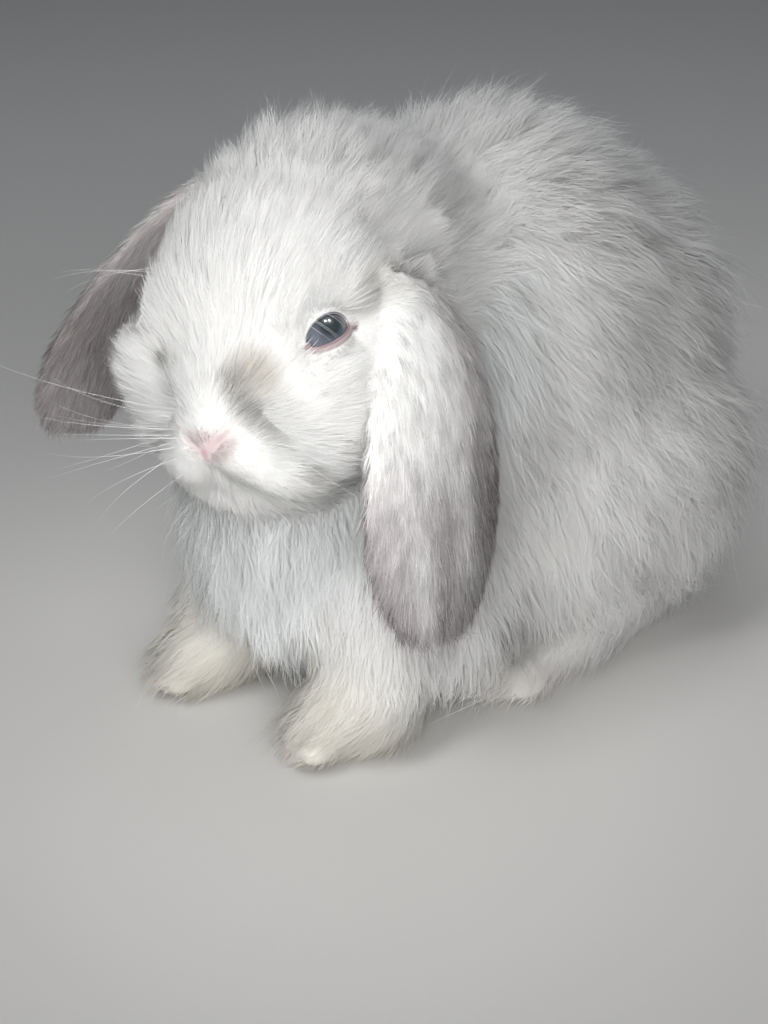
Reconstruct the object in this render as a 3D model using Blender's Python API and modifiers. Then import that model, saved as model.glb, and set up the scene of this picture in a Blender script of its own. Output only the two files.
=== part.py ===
"""A young miniature lop rabbit, crouching with its head raised and turned a little to its left.

Life size, in metres. The rabbit faces -Y, its left side is +X and it stands on z = 0.
The solids reach to the tips of the coat. Forms are written in millimetres and scaled by MM.
"""

import math

import bmesh
import bpy
from mathutils import Euler, Matrix, Vector

MM = 0.001
LEFT, RIGHT = 1, -1

# Driving sizes, in millimetres and degrees.
HEAD_AT = (14.6, -80.9, 136.3)  # the point midway between the eyes
HEAD_YAW = 21  # turned to its own left
HEAD_PITCH = 30  # nose below the horizon
HEAD_ROLL = -5.5  # leaning a little to its right
EYE_RADIUS = 8.2
EYE_ACROSS = 21  # from the midline to the eyeball's centre
GAZE_RISE = 28  # the eyes look sideways and this much up, square to the head's slope
GAZE_FORWARD = 7
SOCKET_DEPTH = 2.2  # how far the socket is drawn outwards, in eye radii
LID_CLOSING = 0.3  # how much lower than round the opening in front of the eye is
EAR_WIDTH = 48
EAR_THICKNESS = 7
GAP = 0.4  # between neighbouring solids

# The grain of the modelled flesh.
VOXEL = 2.6
SMOOTHING = 10
KEPT_SHARE = 0.045

# Base colours, linear.
COAT_WHITE = (0.82, 0.81, 0.82, 1)
EAR_LILAC = (0.60, 0.54, 0.56, 1)
EYE_BLUE_GREY = (0.05, 0.07, 0.11, 1)


def clear_scene():
    for old in list(bpy.data.objects):
        bpy.data.objects.remove(old)


def point(x, y, z):
    return Vector((x, y, z)) * MM


def head_frame():
    """From the head's own axes (x left, y back, z up, origin between the eyes) to the rabbit's."""
    turn = Matrix.Rotation(math.radians(HEAD_YAW), 4, "Z")
    turn = turn @ Matrix.Rotation(math.radians(HEAD_PITCH), 4, "X")
    turn = turn @ Matrix.Rotation(math.radians(HEAD_ROLL), 4, "Y")
    return Matrix.Translation(point(*HEAD_AT)) @ turn


def material(name, colour, roughness):
    made = bpy.data.materials.new(name)
    made.use_nodes = True
    surface = made.node_tree.nodes["Principled BSDF"]
    surface.inputs["Base Color"].default_value = colour
    surface.inputs["Roughness"].default_value = roughness
    return made


def mesh_object(name, clay, collection):
    mesh = bpy.data.meshes.new(name)
    clay.to_mesh(mesh)
    clay.free()
    made = bpy.data.objects.new(name, mesh)
    collection.objects.link(made)
    return made


def evaluated_copy(source, name, collection):
    """The source with its modifiers applied, as a new object."""
    graph = bpy.context.evaluated_depsgraph_get()
    mesh = bpy.data.meshes.new_from_object(source.evaluated_get(graph))
    mesh.name = name
    made = bpy.data.objects.new(name, mesh)
    collection.objects.link(made)
    return made


# ---------------------------------------------------------------- flesh and coat


def unit_sphere():
    sphere = bmesh.new()
    bmesh.ops.create_uvsphere(sphere, u_segments=24, v_segments=16, radius=1)
    mesh = bpy.data.meshes.new("unit_sphere")
    sphere.to_mesh(mesh)
    sphere.free()
    return mesh


def placing(centre, radii, turn=(0, 0, 0), frame=None):
    """The matrix that makes a unit sphere into this ellipsoid."""
    spin = Euler([math.radians(angle) for angle in turn]).to_matrix().to_4x4()
    place = Matrix.Translation(point(*centre)) @ spin @ Matrix.Diagonal((*point(*radii), 1))
    if frame is not None:
        place = frame @ place
    return place


def ball(clay, centre, radii, turn=(0, 0, 0), frame=None):
    """Adds one ellipsoid to the modelled flesh."""
    lump = bpy.data.meshes["unit_sphere"].copy()
    lump.transform(placing(centre, radii, turn, frame))
    clay.from_mesh(lump)
    bpy.data.meshes.remove(lump)


def limb(clay, stations, steps=8):
    """A tapering run of balls through stations of (x, y, z, radius)."""
    for start, end in zip(stations, stations[1:]):
        for step in range(steps + 1):
            x, y, z, radius = (a + (b - a) * step / steps for a, b in zip(start, end))
            ball(clay, (x, y, z), (radius, radius, radius))


def model_trunk(clay):
    ball(clay, (1, -52, 88), (40, 43, 50), (-15, 0, 0))  # chest
    ball(clay, (1, -60, 58), (31, 30, 34))  # fluff of the breast
    ball(clay, (0, -10, 98), (58, 66, 70), (8, 0, 0))  # ribs and shoulders
    ball(clay, (0, 26, 100), (62, 70, 78))  # loin, the top of the arched back
    ball(clay, (0, 58, 86), (63, 66, 74))  # rump
    ball(clay, (0, 14, 42), (56, 70, 34))  # belly


def model_neck(clay):
    ball(clay, (2, -52, 128), (44, 40, 46))
    ball(clay, (2, -34, 150), (38, 36, 32))  # loose mane behind the crown


def model_head(clay, frame):
    ball(clay, (0, 17, 0), (34, 34, 27), frame=frame)  # cranium
    ball(clay, (2, 37, 9), (31, 28, 22), frame=frame)  # tuft of the crown
    ball(clay, (0, -6, -5), (21, 27, 16), (10, 0, 0), frame=frame)  # bridge of the nose
    ball(clay, (0, -20, -15), (16, 16, 15), frame=frame)  # muzzle
    ball(clay, (0, -14, -31), (13, 16, 11), frame=frame)  # chin
    for side in (LEFT, RIGHT):
        ball(clay, (side * 11, -19, -20), (14, 16, 13), frame=frame)  # whisker pad
        ball(clay, (side * 24 - 1.5, 2, -17), (20, 26, 24), frame=frame)  # cheek
        ball(clay, (side * 15, -20, -24), (13, 15, 13), frame=frame)  # whisker pad
        ball(clay, (side * 19, 5, 6), (10, 16, 9), frame=frame)  # brow


def model_foreleg(clay, side):
    limb(clay, ((side * 32, -36, 70, 23), (side * 32, -46, 40, 20), (side * 31, -54, 17, 18)))
    ball(clay, (side * 37, -22, 32), (20, 22, 24))  # fluff of the elbow


def model_forepaws(clay):
    """The left paw is drawn back a little and turned in; the right one reaches forward."""
    limb(clay, ((31, -52, 14, 18), (27, -62, 12, 15), (23, -70, 9, 11)))
    limb(clay, ((-27, -54, 14, 17), (-28, -66, 12, 16), (-31, -74, 9, 12)))


def model_hind_leg(clay, side):
    ball(clay, (side * 41, 46, 60), (34, 60, 52), (-12, 0, side * -6))  # thigh
    limb(clay, ((side * 44, 62, 12, 13), (side * 46, 20, 11, 13), (side * 44, -6, 10, 12)))


def model_tail(clay):
    ball(clay, (0, 117, 50), (17, 18, 24), (-12, 0, 0))


def model_flesh(collection):
    """The whole animal but its ears and eyes, as one closed surface."""
    clay = bmesh.new()
    model_trunk(clay)
    model_neck(clay)
    model_head(clay, head_frame())
    model_tail(clay)
    model_forepaws(clay)
    for side in (LEFT, RIGHT):
        model_foreleg(clay, side)
        model_hind_leg(clay, side)
    lump = mesh_object("lump", clay, collection)
    remesh = lump.modifiers.new("one_surface", "REMESH")
    remesh.mode = "VOXEL"
    remesh.voxel_size = VOXEL * MM
    smooth = lump.modifiers.new("blend", "SMOOTH")
    smooth.iterations = SMOOTHING
    fewer = lump.modifiers.new("fewer", "DECIMATE")
    fewer.ratio = KEPT_SHARE
    flesh = evaluated_copy(lump, "flesh", collection)
    flesh.hide_render = True
    flesh.display_type = "WIRE"
    bpy.data.objects.remove(lump)
    return flesh


# ---------------------------------------------------------------- ears


def bezier(knots, t):
    a, b, c, d = knots
    s = 1 - t
    return a * s**3 + b * 3 * s * s * t + c * 3 * s * t * t + d * t**3


def ear_half_width(t):
    """Narrow at the root, widest past the middle, round at the tip."""
    widest = 0.70
    if t > widest:
        return EAR_WIDTH / 2 * math.sqrt(max(0.0, 1 - ((t - widest) / (1 - widest)) ** 2))
    return EAR_WIDTH / 2 * (1 - 0.45 * ((widest - t) / widest) ** 1.5)


def model_ear(name, knots, outward, cupping, collection):
    """A sphere drawn out along the ear's curve and flattened, with its rims curled inwards."""
    clay = bmesh.new()
    bmesh.ops.create_uvsphere(clay, u_segments=14, v_segments=14, radius=1)
    knots = [point(*knot) for knot in knots]
    outward = Vector(outward).normalized()
    for vertex in clay.verts:
        along = (vertex.co.z + 1) / 2
        ring = math.hypot(vertex.co.x, vertex.co.y)
        across, through = 0.0, 0.0
        if ring > 1e-6:
            across, through = vertex.co.x / ring, vertex.co.y / ring
        here = bezier(knots, along)
        tangent = (bezier(knots, along + 0.01) - bezier(knots, along - 0.01)).normalized()
        width_axis = tangent.cross(outward).normalized()
        normal = width_axis.cross(tangent).normalized()
        half_width = ear_half_width(along) * MM
        end_round = math.sqrt(max(0.0, 1 - (2 * along - 1) ** 8))
        half_thickness = EAR_THICKNESS / 2 * end_round * MM
        curl = -cupping * across * across * half_width
        vertex.co = (
            here
            + width_axis * across * half_width
            + normal * (through * half_thickness + curl)
        )
    bmesh.ops.recalc_face_normals(clay, faces=clay.faces)
    return mesh_object(name, clay, collection)


# ---------------------------------------------------------------- cutting into parts


def guide(name, mesh, guides):
    """A hidden shape that only cuts others."""
    made = bpy.data.objects.new(name, mesh)
    made.hide_render = True
    made.display_type = "WIRE"
    guides.objects.link(made)
    return made


def egg(name, place, guides, grow=0.0, rings=(18, 12)):
    """A cutting ellipsoid; grow is a clearance in millimetres added all round."""
    sphere = bmesh.new()
    bmesh.ops.create_uvsphere(sphere, u_segments=rings[0], v_segments=rings[1], radius=1)
    mesh = bpy.data.meshes.new(name)
    sphere.to_mesh(mesh)
    sphere.free()
    where, spin, radii = place.decompose()
    radii = radii + point(grow, grow, grow)
    mesh.transform(Matrix.LocRotScale(where, spin, radii))
    return guide(name, mesh, guides)


def block(name, low, high, guides, grow=0.0):
    """A cutting box between two corners; grow is a clearance added all round."""
    cube = bmesh.new()
    bmesh.ops.create_cube(cube, size=1)
    mesh = bpy.data.meshes.new(name)
    cube.to_mesh(mesh)
    cube.free()
    low, high = point(*low), point(*high)
    size = high - low + point(2 * grow, 2 * grow, 2 * grow)
    mesh.transform(Matrix.Translation((low + high) / 2) @ Matrix.Diagonal((*size, 1)))
    return guide(name, mesh, guides)


def cut(target, operation, tool):
    step = target.modifiers.new(operation.lower(), "BOOLEAN")
    step.operation = operation
    step.solver = "EXACT"
    step.object = tool


def part_from(flesh, name, keep, drop, collection, guides):
    """The share of the flesh inside every kept shape and outside every dropped one."""
    work = bpy.data.objects.new(name + "_work", flesh.data)
    guides.objects.link(work)
    for tool in keep:
        cut(work, "INTERSECT", tool)
    for tool in drop:
        cut(work, "DIFFERENCE", tool)
    made = evaluated_copy(work, name, collection)
    bpy.data.objects.remove(work)
    return made


def swollen(source, name, guides):
    """The source pushed out by the gap along its normals, to clear what lies against it."""
    mesh = source.data.copy()
    for vertex, normal in zip(mesh.vertices, mesh.vertex_normals):
        vertex.co += normal.vector * GAP * MM
    return guide(name, mesh, guides)


def side_shapes(side, name, guides):
    """Where the limbs of one side are parted from the trunk and from each other."""
    forepaw = ((4, -100, -20), (70, -36, 27))
    foreleg = placing((side * 37, -42, 34), (28, 46, 36))
    hindfoot = ((24, -19, -20), (70, 80, 20))
    thigh = placing((side * 64, 46, 54), (46, 60, 52))
    shapes = {}
    for label, (low, high) in (("forepaw", forepaw), ("hindfoot", hindfoot)):
        xs = sorted((side * low[0], side * high[0]))
        low = (xs[0], low[1], low[2])
        high = (xs[1], high[1], high[2])
        shapes[label] = block(f"{label}_{name}_in", low, high, guides)
        shapes[label + "_clear"] = block(f"{label}_{name}_out", low, high, guides, GAP)
    for label, place in (("foreleg", foreleg), ("thigh", thigh)):
        shapes[label] = egg(f"{label}_{name}_in", place, guides)
        shapes[label + "_clear"] = egg(f"{label}_{name}_out", place, guides, GAP)
    return shapes


def cut_limbs(flesh, name, shapes, floor, collection, guides):
    """The four limb parts of one side."""
    return [
        part_from(flesh, f"forepaw_{name}", [shapes["forepaw"]], [floor], collection, guides),
        part_from(
            flesh,
            f"foreleg_{name}",
            [shapes["foreleg"]],
            [shapes["forepaw_clear"], shapes["hindfoot_clear"], floor],
            collection,
            guides,
        ),
        part_from(flesh, f"hindfoot_{name}", [shapes["hindfoot"]], [floor], collection, guides),
        part_from(
            flesh,
            f"thigh_{name}",
            [shapes["thigh"]],
            [shapes["hindfoot_clear"], shapes["foreleg_clear"], floor],
            collection,
            guides,
        ),
    ]


def eye_socket(name, side, frame, guides):
    """Round behind the eyeball, and drawn outwards into a lens-shaped opening in front of it."""
    ball_room = bmesh.new()
    bmesh.ops.create_uvsphere(ball_room, u_segments=16, v_segments=12, radius=1)
    for vertex in ball_room.verts:
        outwards = max(0.0, vertex.co.x * side)
        vertex.co.z *= 1 - LID_CLOSING * outwards
        if outwards > 0:
            vertex.co.x *= SOCKET_DEPTH
    mesh = bpy.data.meshes.new(name)
    ball_room.to_mesh(mesh)
    ball_room.free()
    room = EYE_RADIUS + GAP
    gaze = (0, -side * GAZE_RISE, -side * GAZE_FORWARD)
    mesh.transform(placing((side * EYE_ACROSS, 0, 0), (room, room, room), gaze, frame))
    return guide(name, mesh, guides)


def add_eyes(frame, head, collection, guides):
    """Eyeballs in their sockets."""
    eyes = []
    for side, name in ((LEFT, "left"), (RIGHT, "right")):
        seat = (side * EYE_ACROSS, 0, 0)
        place = placing(seat, (EYE_RADIUS, EYE_RADIUS, EYE_RADIUS), frame=frame)
        cut(head, "DIFFERENCE", eye_socket(f"socket_{name}", side, frame, guides))
        clay = bmesh.new()
        bmesh.ops.create_uvsphere(clay, u_segments=14, v_segments=10, radius=1, matrix=place)
        eyes.append(mesh_object(f"eye_{name}", clay, collection))
    carved = evaluated_copy(head, "head_carved", collection)
    bpy.data.objects.remove(head)
    carved.name = "head"
    return carved, eyes


def cut_ear(ear, flesh_clear, floor, collection):
    """Leaves the part of the ear that hangs outside the coat of the head and body."""
    name = ear.name
    cut(ear, "DIFFERENCE", flesh_clear)
    made = evaluated_copy(ear, name + "_clear", collection)
    bpy.data.objects.remove(ear)
    made.name = name
    return made


def centre_on_origin(parts):
    """Moves everything so that the box round it stands on the origin."""
    low = Vector((math.inf, math.inf, math.inf))
    high = -low
    for part in parts:
        for vertex in part.data.vertices:
            low = Vector(map(min, low, vertex.co))
            high = Vector(map(max, high, vertex.co))
    shift = Vector((-(low.x + high.x) / 2, -(low.y + high.y) / 2, -low.z))
    for part in parts:
        part.data.transform(Matrix.Translation(shift))
    print("moved by (mm)", [round(v / MM, 3) for v in shift])


def finish(parts, paint):
    for part in parts:
        part.data.materials.clear()
        part.data.materials.append(paint)
        for face in part.data.polygons:
            face.use_smooth = True
            face.material_index = 0


def main():
    clear_scene()
    collection = bpy.data.collections.new("lop_rabbit")
    guides = bpy.data.collections.new("guides")
    bpy.context.scene.collection.children.link(collection)
    bpy.context.scene.collection.children.link(guides)
    unit_sphere()
    frame = head_frame()
    flesh = model_flesh(guides)
    floor = block("floor", (-300, -300, -100), (300, 300, 0), guides)
    flesh_clear = swollen(flesh, "flesh_clear", guides)

    head_place = placing((0, -1, -3), (75, 57, 46), frame=frame)
    neck_place = placing((0, 15, -14), (85, 67, 51), frame=frame)
    tail_place = placing((0, 126, 50), (25, 22, 31))
    head_in = egg("head_in", head_place, guides)
    head_out = egg("head_out", head_place, guides, GAP)
    neck_in = egg("neck_in", neck_place, guides)
    neck_out = egg("neck_out", neck_place, guides, GAP)
    tail_in = egg("tail_in", tail_place, guides)
    tail_out = egg("tail_out", tail_place, guides, GAP)

    left = side_shapes(LEFT, "left", guides)
    right = side_shapes(RIGHT, "right", guides)
    limbs_out = [
        shapes[label + "_clear"]
        for shapes in (left, right)
        for label in ("forepaw", "foreleg", "hindfoot", "thigh")
    ]

    head = part_from(flesh, "head", [head_in], [], collection, guides)
    neck = part_from(flesh, "neck", [neck_in], [head_out], collection, guides)
    tail = part_from(flesh, "tail", [tail_in], [], collection, guides)
    dropped = [head_out, neck_out, tail_out, *limbs_out, floor]
    trunk = part_from(flesh, "trunk", [], dropped, collection, guides)
    limbs = cut_limbs(flesh, "left", left, floor, collection, guides)
    limbs += cut_limbs(flesh, "right", right, floor, collection, guides)
    head, eyes = add_eyes(frame, head, collection, guides)

    left_knots = ((28, -52, 138), (63, -50, 159), (65, -60, 92), (66, -58, 53))
    right_knots = ((-22, -53, 155), (-25, -64, 163), (-70, -67, 104), (-78, -75, 74))
    ears = [
        model_ear("ear_left", left_knots, (1, -0.1, 0), 0.25, collection),
        model_ear("ear_right", right_knots, (-1, 0, 0.25), -0.06, collection),
    ]
    ears = [cut_ear(ear, flesh_clear, floor, collection) for ear in ears]

    coated = [head, neck, trunk, tail, *limbs]
    centre_on_origin(coated + ears + eyes)
    finish(coated, material("coat", COAT_WHITE, 0.9))
    finish(ears, material("ear_coat", EAR_LILAC, 0.85))
    finish(eyes, material("eye", EYE_BLUE_GREY, 0.1))


main()
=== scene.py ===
"""Looks of a young miniature lop rabbit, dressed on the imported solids.

Metres throughout the scene; forms are written in millimetres and scaled by MM.
The rabbit faces -Y and its left side is +X. The head has its own frame: x to its left,
y to the back, z up, with the origin between the eyes.
"""

import math

import bmesh
import bpy
import numpy as np
from mathutils import Matrix, Vector
from mathutils.bvhtree import BVHTree
from mathutils.kdtree import KDTree


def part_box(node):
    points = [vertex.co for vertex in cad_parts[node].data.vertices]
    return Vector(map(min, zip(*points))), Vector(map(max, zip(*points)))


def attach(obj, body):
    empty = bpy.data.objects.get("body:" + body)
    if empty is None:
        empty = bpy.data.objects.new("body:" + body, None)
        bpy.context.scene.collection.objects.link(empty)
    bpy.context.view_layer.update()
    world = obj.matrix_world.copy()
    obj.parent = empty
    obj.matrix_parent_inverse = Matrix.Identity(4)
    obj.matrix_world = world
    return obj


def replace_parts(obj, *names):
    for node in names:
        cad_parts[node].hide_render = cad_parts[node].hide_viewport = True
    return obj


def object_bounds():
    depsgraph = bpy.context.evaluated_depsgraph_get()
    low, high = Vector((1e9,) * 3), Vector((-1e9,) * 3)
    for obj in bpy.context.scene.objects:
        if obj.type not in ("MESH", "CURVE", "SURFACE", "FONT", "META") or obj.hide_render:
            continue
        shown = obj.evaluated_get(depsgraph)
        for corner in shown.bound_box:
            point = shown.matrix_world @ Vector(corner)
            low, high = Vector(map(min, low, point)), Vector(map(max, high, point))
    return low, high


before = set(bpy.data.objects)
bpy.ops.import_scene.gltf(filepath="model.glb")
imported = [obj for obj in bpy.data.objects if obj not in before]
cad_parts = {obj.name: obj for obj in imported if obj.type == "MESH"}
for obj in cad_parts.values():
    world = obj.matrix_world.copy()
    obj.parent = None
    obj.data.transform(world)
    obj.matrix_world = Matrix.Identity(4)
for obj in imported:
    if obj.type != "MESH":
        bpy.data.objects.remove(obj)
CAD_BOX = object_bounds()

MM = 0.001
LEFT, RIGHT = SIDES = 1, -1
RNG = np.random.default_rng(20)
BODY = "root"


def both(*words):
    """Node names of the left and the right one of each."""
    return tuple(f"{word}_{side}" for word in words for side in ("left", "right"))


COAT_NODES = ("head", "neck", "trunk", "tail") + both("foreleg", "forepaw", "thigh", "hindfoot")


# --- frames and small tools


def centre_of(node):
    low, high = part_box(node)
    return np.array((low + high) / 2)


HEAD_YAW, HEAD_PITCH, HEAD_ROLL = 21, 30, -5.5
EYE_AT = {LEFT: centre_of("eye_left"), RIGHT: centre_of("eye_right")}
EYE_RADIUS = 8.2
HEAD_ORIGIN = (EYE_AT[LEFT] + EYE_AT[RIGHT]) / 2
HEAD_TURN = np.array(
    Matrix.Rotation(math.radians(HEAD_YAW), 3, "Z")
    @ Matrix.Rotation(math.radians(HEAD_PITCH), 3, "X")
    @ Matrix.Rotation(math.radians(HEAD_ROLL), 3, "Y")
)


def to_head(points):
    """World metres to head millimetres."""
    return (np.asarray(points) - HEAD_ORIGIN) @ HEAD_TURN / MM


def from_head(points):
    return np.asarray(points, float) * MM @ HEAD_TURN.T + HEAD_ORIGIN


def smoothstep(low, high, values):
    t = np.clip((np.asarray(values, float) - low) / (high - low), 0, 1)
    return t * t * (3 - 2 * t)


def unit(vectors):
    return vectors / np.maximum(np.linalg.norm(vectors, axis=-1, keepdims=True), 1e-12)


def lengths(vectors):
    return np.linalg.norm(vectors, axis=1)


def flattened(vectors, normal):
    """Vectors without their part along the normals."""
    return vectors - normal * np.sum(vectors * normal, axis=1)[:, None]


def tinted(colour, weight, rgb):
    return colour * (1 - weight[:, None]) + np.array(rgb) * weight[:, None]


def tree_of(points):
    tree = KDTree(len(points))
    for k, at in enumerate(points.tolist()):
        tree.insert(at, k)
    tree.balance()
    return tree


def mesh_of(name, co, faces):
    """A mesh of equal-sided faces from arrays."""
    co, faces = np.ascontiguousarray(co, np.float32), np.asarray(faces, np.int32)
    mesh = bpy.data.meshes.new(name)
    mesh.vertices.add(len(co))
    mesh.vertices.foreach_set("co", co.ravel())
    sides = faces.shape[1]
    mesh.loops.add(faces.size)
    mesh.loops.foreach_set("vertex_index", faces.ravel())
    mesh.polygons.add(len(faces))
    mesh.polygons.foreach_set("loop_start", np.arange(0, faces.size, sides, dtype=np.int32))
    mesh.update(calc_edges=True)
    return mesh


def object_of(name, data):
    made = bpy.data.objects.new(name, data)
    bpy.context.scene.collection.objects.link(made)
    return made


def dressed(name, mesh, material):
    """A smooth piece of the rabbit, riding its body."""
    mesh.polygons.foreach_set("use_smooth", np.ones(len(mesh.polygons), bool))
    mesh.materials.append(material)
    made = object_of(name, mesh)
    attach(made, BODY)
    return made


def paint(mesh, name, colours):
    """Point colours from an array of linear RGB."""
    rgba = np.ones((len(colours), 4), np.float32)
    rgba[:, :3] = colours
    mesh.color_attributes.new(name, "FLOAT_COLOR", "POINT").data.foreach_set("color", rgba.ravel())


def vertex_array(mesh):
    co = np.empty(len(mesh.vertices) * 3, np.float32)
    mesh.vertices.foreach_get("co", co)
    return co.reshape(-1, 3).astype(float)


def edge_array(mesh):
    edges = np.empty(len(mesh.edges) * 2, np.int32)
    mesh.edges.foreach_get("vertices", edges)
    return edges.reshape(-1, 2)


def triangle_array(mesh):
    mesh.calc_loop_triangles()
    tris = np.empty(len(mesh.loop_triangles) * 3, np.int32)
    mesh.loop_triangles.foreach_get("vertices", tris)
    return tris.reshape(-1, 3)


def normals_of(co, tris):
    a, b, c = (co[tris[:, k]] for k in range(3))
    across = np.cross(b - a, c - a)
    total = np.zeros_like(co)
    for k in range(3):
        for axis in range(3):
            total[:, axis] += np.bincount(tris[:, k], across[:, axis], len(co))
    return unit(total)


def averaged(values, edges, rounds, share=1.0):
    """Each vertex's value drawn towards its neighbours' mean."""
    flat, n = values.ndim == 1, len(values)
    values = values.reshape(n, -1).astype(float)
    a, b = edges.T
    counts = np.maximum(np.bincount(a, minlength=n) + np.bincount(b, minlength=n), 1)
    for _ in range(rounds):
        total = np.empty_like(values)
        for k in range(values.shape[1]):
            total[:, k] = np.bincount(a, values[b, k], n) + np.bincount(b, values[a, k], n)
        values = values * (1 - share) + total / counts[:, None] * share
    return values[:, 0] if flat else values


def remeshed(co, tris, voxel, smoothing):
    """The union of closed shapes as one mesh of even quads."""
    work = object_of("work", mesh_of("work", co, tris))
    remesh = work.modifiers.new("union", "REMESH")
    remesh.mode = "VOXEL"
    remesh.voxel_size = voxel * MM
    if smoothing:
        soft = work.modifiers.new("soft", "SMOOTH")
        soft.iterations = smoothing
    graph = bpy.context.evaluated_depsgraph_get()
    made = bpy.data.meshes.new_from_object(work.evaluated_get(graph))
    old = work.data
    bpy.data.objects.remove(work)
    bpy.data.meshes.remove(old)
    return made


def sphere(centre, radii, axes=None, rings=(20, 14)):
    """Vertices and triangles of an ellipsoid, in metres; axes are its own directions as columns."""
    across, down = rings
    turn = np.arange(across) * 2 * math.pi / across
    fall = (np.arange(1, down) * math.pi / down)[:, None]
    ring = np.stack([np.sin(fall) * np.cos(turn), np.sin(fall) * np.sin(turn), np.cos(fall) + 0 * turn], -1)
    co = np.vstack([[0, 0, 1], ring.reshape(-1, 3), [0, 0, -1]]) * np.asarray(radii, float) * MM
    if axes is not None:
        co = co @ np.asarray(axes).T
    co = co + np.asarray(centre)
    tris, base = [], 1 + (down - 2) * across
    for k in range(across):
        after = (k + 1) % across
        tris.append((0, 1 + k, 1 + after))
        for a, b in zip(range(1 + k, base, across), range(1 + after, base, across)):
            tris += [(a, a + across, b + across), (a, b + across, b)]
        tris.append((base + k, len(co) - 1, base + after))
    return co, np.array(tris)


def joined(parts):
    co, tris, start = [], [], 0
    for points, faces in parts:
        co.append(points)
        tris.append(np.asarray(faces) + start)
        start += len(points)
    return np.vstack(co), np.vstack(tris)


# --- the coat's outline and the skin

WELD = 0.6 * MM  # how far each node grows, so that neighbours overlap
OUTLINE_VOXEL, OUTLINE_SMOOTHING = 2.0, 12


def node_arrays(name):
    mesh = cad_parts[name].data
    return vertex_array(mesh), triangle_array(mesh)


def coat_outline():
    """The outline at the tips of the coat: all flesh nodes as one smooth closed surface."""
    parts = []
    for name in COAT_NODES:
        co, tris = node_arrays(name)
        parts.append((co + normals_of(co, tris) * WELD, tris))
    parts += [sphere(EYE_AT[side], (EYE_RADIUS + 2.5,) * 3) for side in SIDES]
    return remeshed(*joined(parts), OUTLINE_VOXEL, OUTLINE_SMOOTHING)


def region_of(points):
    """For each point the index in COAT_NODES of the nearest node."""
    nodes = [node_arrays(name) for name in COAT_NODES]
    owner = np.repeat(np.arange(len(nodes)), [len(tris) for _, tris in nodes])
    co, tris = joined(nodes)
    tree = BVHTree.FromPolygons(co.tolist(), tris.tolist())
    return owner[[tree.find_nearest(p)[2] for p in points.tolist()]]


DEPTH = {  # from the skin to the tips of the coat, mm; the head has its own
    "head": 0, "neck": 13, "trunk": 13, "tail": 9, "foreleg": 8, "forepaw": 4.5, "thigh": 13, "hindfoot": 3.5,
}


def head_depth(points):
    """Short on the muzzle, longer over the cheeks and forehead, longest on the crown."""
    x, y, z = to_head(points).T
    depth = 2.2 + 1.6 * smoothstep(-30, -12, y)
    depth += 1.6 * smoothstep(18, 32, np.abs(x)) * smoothstep(0, -12, z)
    depth += 2.0 * smoothstep(-8, 8, y) * smoothstep(0, 10, z)
    depth += 5.0 * smoothstep(14, 34, y)
    eye = np.minimum(*(lengths(points - EYE_AT[side]) for side in SIDES))
    return depth * (0.45 + 0.55 * smoothstep(9 * MM, 17 * MM, eye))


def shrunk(mesh, depth):
    """The outline drawn inwards by the coat's depth, in small smoothed steps."""
    co, tris, edges = vertex_array(mesh), triangle_array(mesh), edge_array(mesh)
    steps = 4
    for _ in range(steps):
        co = co - normals_of(co, tris) * (depth / steps * MM)[:, None]
        co = averaged(co, edges, 2, 0.5)
    return co, tris


# --- ears and toes

CENTRING = np.array((2.084, -14.926, 0.0))  # the solids' last move, which puts their box on the origin
EAR_KNOTS = {
    LEFT: np.array(((28, -52, 138), (63, -50, 159), (65, -60, 92), (66, -58, 53)), float) + CENTRING,
    RIGHT: np.array(((-22, -53, 155), (-25, -64, 163), (-70, -67, 104), (-78, -75, 74)), float) + CENTRING,
}
EAR_OUTWARD = {LEFT: unit(np.array((1, -0.1, 0.0))), RIGHT: unit(np.array((-1, 0, 0.25)))}
EAR_THICKNESS = 1.6  # from the middle of the bare leaf to its face, mm
EAR_HALF_WIDTH = 24 - EAR_THICKNESS
EAR_CUPPING = {LEFT: 0.25, RIGHT: -0.06}
EAR_REAR = {LEFT: -1, RIGHT: 1}  # the way across the leaf in which each ear's rear edge lies


def bezier(knots, t):
    t = np.asarray(t, float)[..., None]
    s = 1 - t
    return knots[0] * s**3 + knots[1] * 3 * s * s * t + knots[2] * 3 * s * t * t + knots[3] * t**3


def ear_frame(side, t):
    """Centre line, tangent, direction across and outer normal of an ear at shares t of its length, mm."""
    knots = EAR_KNOTS[side]
    here = bezier(knots, t)
    tangent = unit(bezier(knots, t + 0.01) - bezier(knots, t - 0.01))
    across = unit(np.cross(tangent, EAR_OUTWARD[side]))
    return here, tangent, across, unit(np.cross(across, tangent))


def ear_half_width(t):
    widest = 0.70
    tip = np.sqrt(np.maximum(0.0, 1 - (np.maximum(t - widest, 0) / (1 - widest)) ** 2))
    root = 1 - 0.6 * (np.maximum(widest - t, 0) / widest) ** 1.5
    return EAR_HALF_WIDTH * np.where(t > widest, tip, root)


def stacked(*triples):
    """Triangles from arrays of their three corners."""
    return np.vstack([np.stack(corners, -1) for corners in triples])


def root_swell(t):
    """How much thicker the leaf is towards its root, mm."""
    return 4.5 * (1 - smoothstep(0.02, 0.3, t))


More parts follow.
